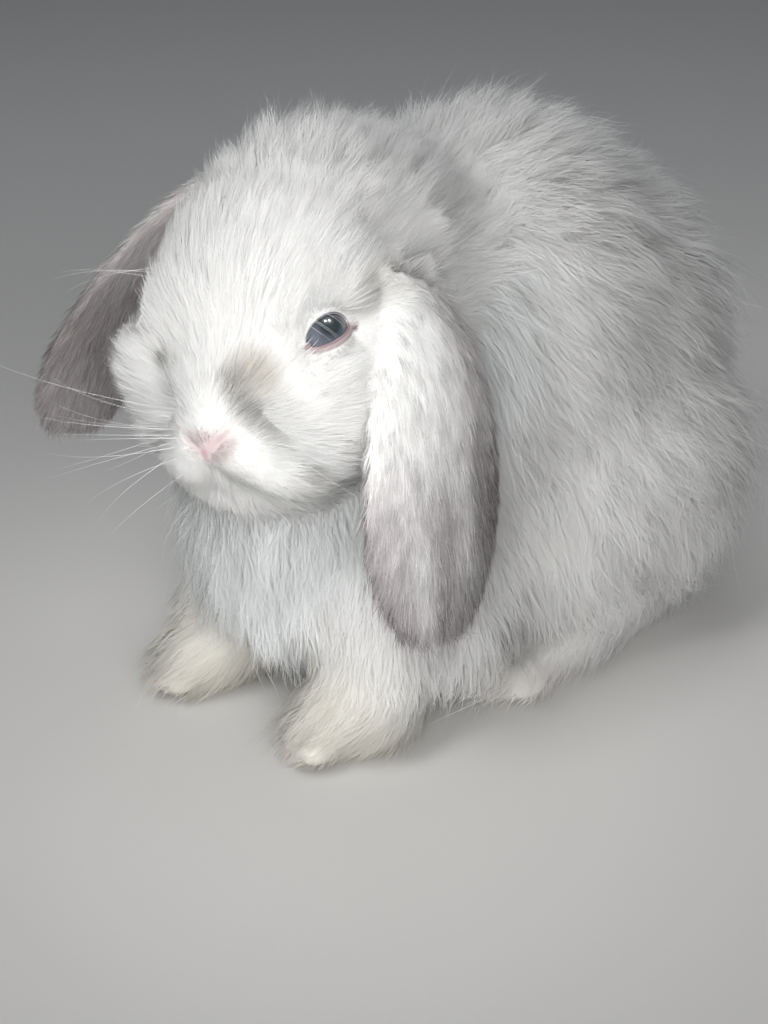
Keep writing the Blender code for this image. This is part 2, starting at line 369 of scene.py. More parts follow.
def ear_shell(side):
    """The bare ear: a thin curled leaf, closed round its rim, its root sunk in the head."""
    rows, columns = 64, 33
    t = 0.985 * np.sin(np.linspace(0.0, 1, rows) * math.pi / 2) ** 0.9
    u = np.sin(np.linspace(-1, 1, columns) * math.pi / 2)
    here, _, across, normal = ear_frame(side, t)
    half = ear_half_width(t)
    grid_u, grid_half = u[None, :], half[:, None]
    curl = -EAR_CUPPING[side] * grid_u**2 * grid_half
    thick = (EAR_THICKNESS - 0.3 * np.abs(grid_u) ** 3) * np.minimum(1, half / 5)[:, None]
    thick = thick + root_swell(t)[:, None] * (1 - grid_u**2)
    middle = here[:, None] + across[:, None] * (grid_u * grid_half)[..., None]
    middle = middle + normal[:, None] * curl[..., None]
    half_sheet = normal[:, None] * thick[..., None]
    co = np.vstack([(middle + half_sheet).reshape(-1, 3), (middle - half_sheet).reshape(-1, 3)]) * MM
    index = np.arange(rows * columns).reshape(rows, columns)
    a, b, c, d = (index[rows, columns].ravel() for rows, columns in (
        np.s_[:-1, :-1], np.s_[1:, :-1], np.s_[1:, 1:], np.s_[:-1, 1:],
    ))
    sheet = stacked((a, b, c), (a, c, d))
    rim = np.concatenate([index[:, 0], index[-1, 1:], index[::-1, -1][1:], index[0, ::-1][1:-1]])
    after, back = np.roll(rim, -1), rows * columns
    band = stacked((rim, rim + back, after + back), (rim, after + back, after))
    return co, np.vstack([sheet, sheet[:, ::-1] + back, band])


# For each row of toes its middle before CENTRING, mm, its heading in degrees from -Y towards +X,
# and the radius of a toe, mm.
TOES = {
    "forepaw_left": ((23.7, -75, 6.5), -14, 3.9),
    "forepaw_right": ((-32.8, -80, 6.5), -8, 3.9),
    "hindfoot_left": ((43.7, -8, 6.0), 6, 4.3),
    "hindfoot_right": ((-44.3, -8, 6.0), -6, 4.3),
}


TOE_SPACING = 1.15  # in toe radii


def toe_row(centre, heading):
    """Middle of a row of toes, mm, the way ahead, and the way along the row."""
    turn = math.radians(heading)
    ahead = np.array((math.sin(turn), -math.cos(turn), 0))
    return np.array(centre) + CENTRING, ahead, np.array((math.cos(turn), math.sin(turn), 0))


def toe_places():
    """Centre, heading and radius of every toe, mm."""
    places = []
    for centre, heading, radius in TOES.values():
        middle, ahead, aside = toe_row(centre, heading)
        for k in (-1.5, -0.5, 0.5, 1.5):
            at = middle + aside * k * radius * TOE_SPACING - ahead * abs(k) ** 2 * 0.9
            places.append((at, ahead, radius))
    return places


# --- eyelids and muzzle

NOSE_TIP = np.array((0, -34, -6.0))
# The opening between the lids, seen from the eyeball's centre: its corners, and how many
# degrees the upper lid arches above the line between them and the lower lid sags below it.
INNER_CORNER = unit(np.array((0.161, -0.81, 0.564)))
OUTER_CORNER = unit(np.array((0.794, 0.592, 0.141)))
UPPER_ARCH, LOWER_SAG = 32, 17
LID_THICKNESS = 1.0
LID_BLEND = {LEFT: (12, 36), RIGHT: (7, 22)}  # degrees beyond the opening in which lids run into the face
FILM = 0.25  # between an eyeball and what lies on it, mm
EYE_REACH = 17  # mm from an eyeball's centre within which the coat minds the eye
RIGHT_EYE_LOWER = 24  # degrees by which the right eye is rolled down against the left one


def eye_turn(side):
    """From the left eye's axes in the head frame to this eye's."""
    if side == LEFT:
        return np.eye(3)
    return np.diag((-1.0, 1, 1)) @ np.array(Matrix.Rotation(math.radians(RIGHT_EYE_LOWER), 3, "Y"))


def eye_axes(side):
    """Along the opening from inner to outer corner, up across it, and out of the eye, in the head frame."""
    along, out = unit(OUTER_CORNER - INNER_CORNER), unit(INNER_CORNER + OUTER_CORNER)
    up = unit(np.cross(out, along))
    turn = eye_turn(side)
    return turn @ along, turn @ up, turn @ out


HALF_LENGTH = math.degrees(math.acos(float(INNER_CORNER @ OUTER_CORNER))) / 2


def lid_edge(share):
    """How far the opening's edge arches at each share (-1 inner to 1 outer) of its length, 0 to 1."""
    return np.sqrt(np.maximum(0, 1 - np.clip(share, -1, 1) ** 2)) ** 1.15


def around_eye(head, side):
    """Radius from an eyeball's centre, direction, and degrees outside the opening (above and below apart)."""
    gap = head - to_head(EYE_AT[side])
    radius = lengths(gap)
    way = gap / np.maximum(radius, 1e-6)[:, None]
    along, up, out = eye_axes(side)
    phi = np.degrees(np.arctan2(way @ along, way @ out))
    theta = np.degrees(np.arcsin(np.clip(way @ up, -1, 1)))
    edge = lid_edge(phi / HALF_LENGTH)
    above, below = theta - UPPER_ARCH * edge, -theta - LOWER_SAG * edge
    beyond = (np.abs(phi) - HALF_LENGTH) * np.cos(np.radians(theta))
    outside = np.maximum(np.maximum(above, below), np.minimum(beyond, 60))
    behind = way @ out < 0
    return radius, way, np.where(behind, 90, outside), np.where(behind, 0, phi), theta


def refine(mesh):
    """Finer faces round the eyes, nose and mouth."""
    for reach_eye, reach_nose in ((17, 17), (14, 12)):
        work = bmesh.new()
        work.from_mesh(mesh)
        head = to_head(vertex_array(mesh))
        close = lengths(head - (NOSE_TIP + (0, 4, -4))) < reach_nose
        for side in SIDES:
            close |= lengths(head - to_head(EYE_AT[side])) < reach_eye
        edges = list({e for f in work.faces if all(close[v.index] for v in f.verts) for e in f.edges})
        bmesh.ops.subdivide_edges(work, edges=edges, cuts=1, use_grid_fill=True)
        work.to_mesh(mesh)
        work.free()


def path_distance(points, path):
    """Distance of each point from a polyline, and the share of its length at the nearest place."""
    path = np.asarray(path, float)
    best, share = np.full(len(points), 1e9), np.zeros(len(points))
    steps = lengths(np.diff(path, axis=0))
    before = np.concatenate([[0], np.cumsum(steps)]) / steps.sum()
    for k in range(len(path) - 1):
        way = path[k + 1] - path[k]
        t = np.clip((points - path[k]) @ way / (way @ way), 0, 1)
        gap = lengths(points - path[k] - t[:, None] * way)
        closer = gap < best
        best[closer] = gap[closer]
        share[closer] = (before[k] + t * (before[k + 1] - before[k]))[closer]
    return best, share


NOSTRILS = {
    LEFT: [(-0.6, -34.2, -8.0), (1.2, -33.6, -6.6), (3.1, -32.2, -5.5), (5.9, -29.7, -4.2)],
    RIGHT: [(-2.0, -34.2, -8.3), (-4.6, -33.4, -7.8), (-7.4, -31.9, -7.6), (-11.0, -29.5, -6.8)],
}
PHILTRUM = [(-1.3, -34.8, -8.3), (-1.3, -34.8, -12), (-1.3, -34.2, -16)]


def lip(side):
    return [(-1.3, -34, -16), (side * 3 - 1, -34, -21), (side * 7 - 1, -31.5, -28), (side * 12, -26, -34)]


def crease(side):
    """The furrow between the muzzle and the cheek."""
    return [(side * 12, -24, -4.5), (side * 16, -25, -9), (side * 20, -26, -15), (side * 23.5, -26, -25)]


def sculpt(mesh):
    """Muzzle forms, nostrils, mouth and eyelids, moved into the finer skin."""
    co = vertex_array(mesh)
    head = to_head(co)
    normal = normals_of(co, triangle_array(mesh)) @ HEAD_TURN
    push = np.zeros(len(co))
    front = (head[:, 1] < -8) & (np.abs(head[:, 0]) < 26)

    def mark(path, width, depth, ends=(1, 1)):
        gap, share = path_distance(head, path)
        strength = ends[0] + (ends[1] - ends[0]) * share
        push[:] += np.exp(-((gap / width) ** 2)) * depth * strength * front

    mark([(0, -30, -5), (0, -33, -8)], 6, 2.2)
    for side in SIDES:
        mark([(side * 8, -31, -13), (side * 12, -29, -21)], 6.5, 2.8)
        mark(crease(side), 2.6, -1.8, (1, 0.6))
        mark(lip(side), 2.4, -1.2, (1, 0.1))
        mark(NOSTRILS[side], 0.9, -1.3, (0.5, 1.0))
        mark([(side * 8.5 - 1, -29.5, -1.5), (side * 9.5 - 1, -28, -6)], 2.0, 0.6)
    mark(PHILTRUM, 0.9, -1.3)
    head = head + normal * push[:, None]

    for side in SIDES:
        radius, way, outside, _, theta = around_eye(head, side)
        lid = EYE_RADIUS + FILM + (LID_THICKNESS - FILM) * smoothstep(0, 5, outside)
        lid = lid - 0.3 * np.exp(-(((outside - 13) / 3) ** 2)) * (theta > 0)
        surface, sunk = EYE_RADIUS + FILM, EYE_RADIUS - 2.2
        within = surface - (surface - sunk) * smoothstep(0, -5, outside)
        target = np.where(outside > 0, lid, within)
        hold = 1 - smoothstep(*LID_BLEND[side], outside)
        hold = hold * (1 - smoothstep(11, 15.5, radius))
        moved = to_head(EYE_AT[side]) + way * (radius + (target - radius) * hold)[:, None]
        head = np.where((radius < 16)[:, None], moved, head)
    co = from_head(head)
    mesh.vertices.foreach_set("co", np.ascontiguousarray(co, np.float32).ravel())
    mesh.update()


# --- the skin

SOLE_FUR = 0.6  # the trodden-down fur under the feet, mm
SKIN_VOXEL, SKIN_SMOOTHING = 1.46, 4


def build_skin():
    """Skin mesh, and the outline's vertices and triangles."""
    outline = coat_outline()
    base, edges = vertex_array(outline), edge_array(outline)
    labels = region_of(base)
    table = np.array([DEPTH[name.split("_")[0]] for name in COAT_NODES])
    depth = averaged(np.where(labels == 0, head_depth(base), table[labels]), edges, 6)
    inner, tris = shrunk(outline, depth)
    lifted = inner[:, 2] - base[:, 2]
    inner[:, 2] = base[:, 2] + lifted * smoothstep(2 * MM, 12 * MM, base[:, 2]) + SOLE_FUR * MM
    parts = [(inner, tris)]
    for side in SIDES:
        parts.append(ear_shell(side))
        roots = ear_frame(side, np.array([0.0, 0.06, 0.12]))[0]
        parts += [sphere(at * MM, (9, 9, 7)) for at in roots]
    for at, ahead, radius in toe_places():
        parts.append(sphere(at * MM - ahead * 3 * MM, (radius, 9, radius)))
    skin = remeshed(*joined(parts), SKIN_VOXEL, SKIN_SMOOTHING)
    refine(skin)
    sculpt(skin)
    return skin, base, triangle_array(outline)


# --- what grows where

FACE, CROWN, MANE, CHEST, BACK, FLANK, RUMP, LEGS, FEET, TAIL, EAR_L, EAR_R = range(12)


EAR_SPAN = 75 * MM  # how far an ear's points lie from its middle at most


def ear_places(co):
    """Each point's ear (0 for none), share t along it and u across it, and 1 for its outer face or -1."""
    side_of = np.zeros(len(co), int)
    along, over, outer = np.zeros((3, len(co)))
    t = np.linspace(0, 1, 160)
    for side in SIDES:
        here, _, across, normal = ear_frame(side, t)
        knots = tree_of(here * MM)
        for vertex in np.where(lengths(co - here.mean(0) * MM) < EAR_SPAN)[0]:
            k = knots.find(co[vertex])[1]
            gap = co[vertex] / MM - here[k]
            half = max(ear_half_width(t[k]), 1.0)
            u = gap @ across[k] / half
            sheet = gap @ normal[k] + EAR_CUPPING[side] * u * u * half
            thick = 2.4 + root_swell(t[k])
            if abs(u) < 1.15 and abs(sheet) < thick:
                side_of[vertex], along[vertex], over[vertex] = side, t[k], u
                outer[vertex] = 1 if sheet > 0 else -1
    return side_of, along, over, outer


def ear_frame_points(side):
    """Points all over the middle of an ear's leaf, beyond its root."""
    t = np.linspace(0.22, 0.98, 60)
    here, _, across, normal = ear_frame(side, t)
    u = np.linspace(-1, 1, 25)[None, :, None]
    half = ear_half_width(t)[:, None, None]
    points = here[:, None] + across[:, None] * u * half - normal[:, None] * EAR_CUPPING[side] * u * u * half
    return points.reshape(-1, 3) * MM


def ruff(head):
    """1 along the band of long fur between the crown and the root of the left ear."""
    band = [(20, 34, 5), (25, 33, 0), (30, 30, -8)]
    gap = path_distance(head, band)[0]
    return 1 - smoothstep(3, 13, gap)


EAR_COAT = 1.4  # length of the coat off an ear's skin, mm
EAR_GAP = 3.2  # room between an ear's middle and the coat beside it, mm


class Growth:
    """Everything the coat needs to know at each vertex of the skin."""

    def __init__(self, skin, base, base_tris):
        self.co, self.tris, self.edges = vertex_array(skin), triangle_array(skin), edge_array(skin)
        self.normal = normals_of(self.co, self.tris)
        self.head = to_head(self.co)
        self.names = np.array(COAT_NODES)[region_of(self.co)]
        self.ear, self.t, self.u, self.outer = ear_places(self.co)
        tree = BVHTree.FromPolygons(base.tolist(), base_tris.tolist())
        found = [tree.find_nearest(p) for p in self.co.tolist()]
        near, facing = (np.array([f[k] for f in found]) for k in range(2))
        beyond = np.sum((self.co - near) * facing, axis=1) > -1.0 * MM
        gap = lengths(self.co - near) / MM
        self.ear[(self.ear != 0) & ~beyond & (gap > 2.5)] = 0
        self.region = self.regions()
        self.eyes = {side: around_eye(self.head, side) for side in SIDES}
        self.by_eye = np.minimum(*(eye[2] + 90 * (eye[0] > EYE_REACH) for eye in self.eyes.values()))
        self.reach = self.reaches(gap)
        self.density = self.densities()
        self.flow = self.flows()
        self.low, self.high = self.angles()
        self.colour = coat_colour(self)

    def regions(self):
        names, (x, y, z), (_, hy, hz) = self.names, (self.co / MM).T, self.head.T
        trunk, neck, head = (names == node for node in ("trunk", "neck", "head"))
        region = np.full(len(names), BACK)
        region[trunk & (y > 60)] = RUMP
        low = trunk & (z < 40 + 35 * smoothstep(20, 50, np.abs(x)) * smoothstep(-60, 0, y))
        region[low | np.isin(names, both("thigh"))] = FLANK
        region[trunk & (y < -45) & (z < 128)] = CHEST
        region[neck] = MANE
        region[neck & (hz < -30)] = CHEST
        region[head] = FACE
        region[head & (hy > 20)] = CROWN
        region[np.isin(names, both("foreleg"))] = LEGS
        region[np.isin(names, both("forepaw", "hindfoot"))] = FEET
        region[names == "tail"] = TAIL
        region[self.ear == LEFT] = EAR_L
        region[self.ear == RIGHT] = EAR_R
        return region

    def reaches(self, gap):
        """Length of the coat off the skin, mm, from the skin's gap to the outline."""
        on_ear, face, far_side = self.ear != 0, self.region == FACE, self.head[:, 0] < 0
        ears = tree_of(np.vstack([ear_frame_points(side) for side in SIDES]))
        clear = np.array([ears.find(p)[2] for p in self.co.tolist()]) / MM
        beside = np.minimum(np.clip(gap, 0.6, 16), np.maximum(0.8, clear - EAR_GAP))
        reach = np.where(on_ear, EAR_COAT, beside)
        low = np.maximum(1.5, (self.co[:, 2] / MM - 16) / 1.9)
        reach = np.where(np.isin(self.region, (FLANK, RUMP)), np.minimum(reach, low), reach)
        for word, more in (("hindfoot", 2.8), ("forepaw", 1.5)):
            foot = np.isin(self.names, both(word)) & (self.normal[:, 2] > -0.3)
            reach = np.where(foot, reach + more, reach)
        reach = reach + 3.0 * blob(self.head, (-24, -24, -24), (14, 14, 14)) * face
        reach = averaged(reach, self.edges, 4)
        near_lids = 0.20 + 0.80 * smoothstep(1, 24, self.by_eye)
        reach *= np.where(far_side, 0.5 + 0.5 * smoothstep(0, 9, self.by_eye), near_lids)
        reach += 3.2 * blob(self.head, (-26, -1, 11), (8, 12, 8)) * far_side * face
        reach *= 1 - 0.45 * blob(self.head, (-29, -6, -1), (9, 8, 8)) * far_side * face
        for side in SIDES:
            reach *= 1 - 0.5 * blob(self.head, (side * 33, 21, 4), (10, 10, 10)) * ~on_ear
        return reach + 5.5 * ruff(self.head) * np.isin(self.region, (CROWN, MANE))

    def densities(self):
        """Hairs for each area: none on the lids' rims and the nose leather, few on the soles."""
        radius, _, _, phi, theta = self.eyes[LEFT]
        under = (radius < EYE_REACH) * smoothstep(2, -3, theta)
        under = under * smoothstep(HALF_LENGTH - 4, HALF_LENGTH - 14, phi)
        bare = 0.6 + 8.5 * under + 4.5 * under * (phi < -30)
        nostrils = np.minimum(*(path_distance(self.head, NOSTRILS[side])[0] for side in SIDES))
        density = smoothstep(0, 3, self.by_eye - bare) * smoothstep(0.6, 1.9, nostrils)
        density *= smoothstep(0.8, 1.8, path_distance(self.head, PHILTRUM)[0])
        sole = (self.co[:, 2] < 1.5 * MM) & (self.normal[:, 2] < -0.8)
        return density * np.where(sole, 0.15, 1)

    def flows(self):
        """The lie of the coat: a unit vector along the skin at each vertex."""
        co, head, region = self.co / MM, self.head, self.region
        ones = np.ones(len(co))
        flank = smoothstep(0.15, 0.8, np.abs(self.normal[:, 0]))
        down = unit(np.stack([0.15 * np.sign(co[:, 0]), -0.12 * ones, -1.0 * ones], -1))
        crown = np.stack([head[:, 0] * 0.9, head[:, 1] + 4, head[:, 2] * 0.6 + 12], -1)
        lies = {
            FACE: unit(head - (NOSE_TIP + (0, -10, 4))) @ HEAD_TURN.T,
            CROWN: unit(crown) @ HEAD_TURN.T,
            MANE: unit(co - (HEAD_ORIGIN / MM + (0, 8, -14))),
            CHEST: down,
            LEGS: down,
            FEET: unit(np.array((0, -1, -0.35))),
            TAIL: unit(np.array((0, 0.6, -0.8))),
            RUMP: unit(np.array((0, 0.45, -0.9))),
        }
        flow = unit(np.stack([0 * flank, 0.85 - 0.52 * flank, -0.2 - 0.95 * flank], -1))
        for name, lie in lies.items():
            flow = np.where((region == name)[:, None], lie, flow)
        for side in SIDES:
            mine = np.where(self.ear == side)[0]
            _, tangent, across, _ = ear_frame(side, self.t[mine])
            flow[mine] = unit(tangent + across * (0.35 * self.u[mine] ** 3)[:, None])
        for side, strength in ((LEFT, 2.2), (RIGHT, 0.5)):
            radius, way, outside, _, _ = self.eyes[side]
            out = eye_axes(side)[2]
            close = (1 - smoothstep(12, 34, outside)) * (radius < EYE_REACH) * (region == FACE)
            flow = flow + unit(way - (way @ out)[:, None] * out) @ HEAD_TURN.T * (strength * close)[:, None]
        for _ in range(14):
            flow = unit(flattened(flow, self.normal))
            flow = np.where((self.ear != 0)[:, None], flow, averaged(flow, self.edges, 1, 0.7))
        return unit(flattened(flow, self.normal))

    def angles(self):
        """Degrees off the normal at the root and at the tip."""
        table = {
            FACE: (54, 85), CROWN: (14, 48), MANE: (14, 50), CHEST: (36, 80), BACK: (20, 68),
            FLANK: (34, 80), RUMP: (30, 78), LEGS: (44, 82), FEET: (48, 84), TAIL: (30, 70),
            EAR_L: (70, 88), EAR_R: (70, 88),
        }
        both_ends = np.array([table[k] for k in range(len(table))], float)[self.region].T
        return tuple(averaged(degrees, self.edges, 8) for degrees in both_ends)


def blob(points, centre, radii, soft=1.0):
    """1 at the centre of an ellipsoid, fading to 0 at its edge."""
    gap = lengths((points - np.array(centre)) / np.array(radii))
    return 1 - smoothstep(1 - soft, 1, gap)


WHITE = np.array((0.885, 0.882, 0.874))
MARKING = (0.6, 1.4)  # how much of a marking's colour single hairs take


def coat_colour(growth):
    """Linear colour of the hair at each vertex of the skin."""
    head, co, region = growth.head, growth.co / MM, growth.region
    on_ear = growth.ear != 0
    face = ~on_ear & (region <= CROWN)
    colour = np.tile(WHITE, (len(co), 1))

    def tint(weight, rgb):
        colour[:] = tinted(colour, weight, rgb)

    def spot(weight, centre, radii, rgb, soft=1.0):
        tint(weight * blob(head, centre, radii, soft) * face, rgb)

    def line(weight, path, near, far, rgb):
        tint(weight * (1 - smoothstep(near, far, path_distance(head, path)[0])) * face, rgb)

    # chest in painted cool shade, the feet, and painted shade in the fold between chest and forelegs
    tint(0.5 * (region == CHEST), (0.84, 0.862, 0.868))
    for node in both("forepaw"):
        low, high = (np.array(corner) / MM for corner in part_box(node))
        paw = blob(co, (low + high) / 2 + (0, -6, -2), (34, 36, 32), 0.6)
        tint(0.42 * paw, (0.82, 0.785, 0.68))
        # painted shade: the lower part of each forepaw darker
        tint(0.40 * paw * smoothstep(14, 3, co[:, 2]), (0.55, 0.52, 0.45))
    for node in both("hindfoot"):
        low, high = (np.array(corner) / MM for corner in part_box(node))
        toes = ((low[0] + high[0]) / 2, low[1] + 14, 8)
        tint(0.5 * blob(co, toes, (26, 44, 22)), (0.88, 0.83, 0.80))
    # painted shade in the clefts between the toes
    for centre, heading, radius in TOES.values():
        middle, ahead, aside = toe_row(centre, heading)
        for k in (-1, 0, 1):
            at = middle * (1, 1, 0) + aside * k * radius * TOE_SPACING
            cleft = path_distance(co * (1, 1, 0), [at - ahead * 6, at + ahead * 14])[0]
            tint(0.45 * (1 - smoothstep(0.4, 1.8, cleft)) * (region == FEET), (0.44, 0.42, 0.39))
    # painted shade in the fold between chest and forelegs
    for side in SIDES:
        fold = path_distance(co, [(side * 30, -36, 17), (side * 46, -30, 23), (side * 62, -14, 24)])[0]
        tint(0.42 * (1 - smoothstep(1, 7, fold)) * ~on_ear * (region != FEET), (0.52, 0.51, 0.49))

    # the patch beside the nose and its streak; painted shade on the near whisker pad, in the creases of the
    # face and on the far side of the nose bridge
    spot(0.62, (9.0, -18.8, 2.2), (8.6, 9.2, 8.2), (0.49, 0.45, 0.375), 0.9)
    streak = [(4.2, -21.5, 2.5), (7.0, -25.5, -1.0), (11, -26.0, -4), (16, -26.5, -9)]
    line(0.66, streak, 0.3, 4.2, (0.27, 0.26, 0.245))
    # painted shade at the lower end of the near crease between muzzle and cheek
    spot(0.40, (20, -28.5, -21), (3, 4.5, 5), (0.36, 0.35, 0.32))
    # painted shade dimming the near whisker pad
    spot(0.55, (15, -31, -12), (11, 9, 9), (0.76, 0.76, 0.74), 0.8)
    # painted shadow on the far side of the nose bridge
    spot(0.95, (-17.5, -16.5, 1.0), (4.5, 5, 5), (0.32, 0.31, 0.29), 0.7)
    for side in SIDES:
        spot(0.36, (side * 30, 9, 2), (6, 6, 6), (0.42, 0.40, 0.38))
        spot(0.30, (side * 33, 19, 3), (10, 9, 9), (0.80, 0.77, 0.64))
        # painted shade in the creases between muzzle and cheeks
        line(0.26, crease(side), 0.5, 4.0, (0.36, 0.37, 0.37))
        corner = [(side * 28.5, 6, 6.5), (side * 30, 9, 4), (side * 31.5, 13, 1)]
        line(0.34, corner, 0.5, 4.5, (0.44, 0.42, 0.39))

    # the nose leather and the nostrils
    spot(0.74, (1.0, -33, -7), (11, 7, 7), (0.46, 0.375, 0.37), 0.8)
    for side, strength in ((LEFT, 0.46), (RIGHT, 0.40)):
        gap, share = path_distance(head, NOSTRILS[side])
        tint(strength * (1 - smoothstep(0.3, 2.6, gap)) * face, (0.42, 0.275, 0.28))
        # the slits: darker skin together with painted shade in their groove
        slit = smoothstep(0.35, 0.7, share) * (1 - smoothstep(0.1, 1.3, gap))
        tint(0.7 * strength * slit * face, (0.18, 0.13, 0.115))
    line(0.65, PHILTRUM[:2], 0.3, 1.8, (0.40, 0.22, 0.245))

    # the bare skin round the eyes
    for side, strength in ((LEFT, 0.94), (RIGHT, 0.4)):
        radius, _, outside, phi, theta = growth.eyes[side]
        near = (radius < 14) * face
        below = smoothstep(4, -4, theta) * (1 - smoothstep(HALF_LENGTH - 6, HALF_LENGTH + 3, phi))
        corner = smoothstep(-HALF_LENGTH + 24, -HALF_LENGTH + 6, phi) * below
        tint(strength * (1 - smoothstep(7, 12 + 8 * corner, outside)) * below * near, (0.31, 0.235, 0.245))
        rear = to_head(EYE_AT[side]) + (side * 3.5, 8.2, 0.5)
        spot(0.34, rear, (5.5, 5.5, 5.5), (0.42, 0.40, 0.375), 0.8)
        tint(0.55 * (1 - smoothstep(0, 4, outside)) * (1 - below) * near, (0.22, 0.21, 0.22))

    # an ear is white down its middle, lilac-grey at the rims and tip, darkest in a band behind
    t, edge, near_ear = growth.t, np.abs(growth.u), growth.ear == LEFT
    rear = growth.u * np.where(near_ear, EAR_REAR[LEFT], EAR_REAR[RIGHT])
    streaks = 0.5 + 0.5 * np.sin(9 * rear + 2.0 * np.sin(6 * t) + 1.1) * np.cos(5 * t * t + 2 * rear)
    lilac = 0.38 * smoothstep(0.22, 0.55, rear) * smoothstep(0.06, 0.25, t) * (1 - smoothstep(0.72, 0.9, t))
    lilac += 0.45 * smoothstep(-0.55, -0.85, rear) * smoothstep(0.5, 0.75, t)
    tint(lilac * near_ear, (0.52, 0.46, 0.475))
    band = 0.52 * smoothstep(0.60, 0.85, rear) * smoothstep(0.50, 0.68, t)
    band = band * (1 - 0.5 * smoothstep(0.85, 1, t))
    band += 0.35 * smoothstep(0.80, 1.0, edge) * smoothstep(0.55, 0.85, t)
    mottled = 0.62 * streaks * smoothstep(0.38, 0.70, t) * (0.35 + 0.65 * smoothstep(-0.9, 0.3, rear))
    tip = 0.24 * smoothstep(0.45, 0.75, t) + 0.34 * smoothstep(0.78, 0.98, t)
    tint(np.clip(band + mottled + tip, 0, 0.88) * near_ear, (0.36, 0.332, 0.335))
    # the far ear: grey fur with streaks and greyer rims, plus painted shade darkest across its middle fold
    # and lighter on its upper part
    shade = 0.24 + 0.44 * smoothstep(0.32, 0.58, t) - 0.22 * smoothstep(0.62, 0.85, t)
    shade += 0.25 * smoothstep(0.75, 1.0, edge) + 0.12 * (streaks - 0.5)
    tint(np.clip(shade, 0, 0.9) * (growth.ear == RIGHT), (0.30, 0.28, 0.275))
    tint(0.35 * on_ear * (growth.outer < 0), (0.42, 0.36, 0.37))
    return colour


# --- unwrapping

SHEET_MARGIN = 0.006
REGION_GROUPS = ((FACE, CROWN), (MANE, CHEST), (BACK, RUMP, TAIL, FLANK), (LEGS, FEET), (EAR_L, EAR_R))


def unwrap(co, normal, region):
    """A place for every point of the skin on a sheet of five groups by six facings."""
    group = np.zeros(len(co), int)
    for k, members in enumerate(REGION_GROUPS):
        group[np.isin(region, members)] = k
    axis = np.abs(normal).argmax(1)
    facing = axis * 2 + (normal[np.arange(len(co)), axis] > 0)
    plane = np.array(((1, 2), (0, 2), (0, 1)))[axis]
    flat = np.take_along_axis(co, plane, 1) * np.where(facing % 2 == 0, -1, 1)[:, None] ** np.array((1, 0))
    uv, cells = np.zeros((len(co), 2)), np.array((6, len(REGION_GROUPS)))
    for at in np.ndindex(*cells):
        mine = (facing == at[0]) & (group == at[1])
        if mine.any():
            low, high = flat[mine].min(0), flat[mine].max(0)
            share = (flat[mine] - low) / max((high - low).max(), 1e-4)
            uv[mine] = at / cells + SHEET_MARGIN + share * (1 / cells - 2 * SHEET_MARGIN)
    return uv


# --- the coat


class Style:
    """How one piece of the coat grows: its hairs' number, width, mm, spacing of locks, mm, and lie."""

    def __init__(
        self, name, regions, count, stations, width, clump, pull, frizz,
        stray=0.0, relief=0.3, mottle=0.08, where=None,
    ):
        self.name, self.regions, self.count, self.stations = name, regions, count, stations
        self.width, self.clump, self.pull, self.frizz = width, clump, pull, frizz
        self.stray, self.relief, self.mottle, self.where = stray, relief, mottle, where


def scatter(weights, count):
    """Triangle indices and barycentric shares of evenly spread roots."""
    total = np.cumsum(weights)
    at = (np.arange(count) + RNG.random(count)) / count * total[-1]
    tri = np.minimum(np.searchsorted(total, at), len(weights) - 1)
    a, b = RNG.random((2, count))
    over = a + b > 1
    a[over], b[over] = 1 - a[over], 1 - b[over]
    return tri, np.stack([1 - a - b, a, b], -1)


def strand_path(root, normal, along, length, low, high, shares):
    """Stations along hairs that start low degrees off the normal and end high degrees off it."""
    low, high = np.radians(low), np.radians(high)
    turn = (high - low)[:, None]
    angle = low[:, None] + turn * shares[None, :]
    up = (np.sin(angle) - np.sin(low)[:, None]) / turn * length[:, None]
    out = (np.cos(low)[:, None] - np.cos(angle)) / turn * length[:, None]
    return root[:, None] + normal[:, None] * up[..., None] + along[:, None] * out[..., None]


HAIR_PATCH = 0.003  # size of a hair's own patch on the sheet
UNDERCOAT = 0.5  # share of the hairs that are short, loose and in no lock
UNDERCOAT_LENGTH, STRAY_LENGTH = 0.72, 1.3  # against the other hairs
SHORTEST, VARIETY = 0.74, 0.32  # a hair's length in coat depths: the least, and what chance adds
LOCK_LEAN, LOCK_SWING = 60, 2.2  # degrees a frizzy lock leans, and radians it turns aside
ROOT_ANGLES, TIP_ANGLES = (4, 80), (10, 88)  # limits of a hair's degrees off the normal
SAME_FACING = 0.4  # hairs are drawn to their lock's chief only where the skin faces its way
FIRMEST_HOLD = 0.92
ROLL = 1.15  # radians a ribbon may turn about its own line
COAT_SPARE = np.array((3.0, 6.5, 5.5)) * MM  # how far hairs may pass the box of the solids
WHISKER_SPARE = np.array((7.0, 12.0, 6.0)) * MM


def held_in_box(paths, spare):
    """Hairs drawn back towards their roots until they end inside the solids' box and a little beyond."""
    low, high = (np.array(corner) for corner in CAD_BOX)
    root, ends = paths[:, 0], paths[:, -1] - paths[:, 0]
    room = np.where(ends > 0, high + spare - root, low - spare - root)
    keep = (np.abs(room) / np.maximum(np.abs(ends), 0.01 * MM)).min(1).clip(0.2, 1)
    return root[:, None] + (paths - root[:, None]) * keep[:, None, None]


def locks(root, area, style):
    """For each hair the number of the lock it belongs to, and how many locks there are."""
    count = min(max(8, int(area / (style.clump * MM) ** 2)), style.count // 6)
    heads = RNG.choice(style.count, count, replace=False)
    tree = tree_of(root[heads])
    return np.array([tree.find(at)[1] for at in root.tolist()]), count


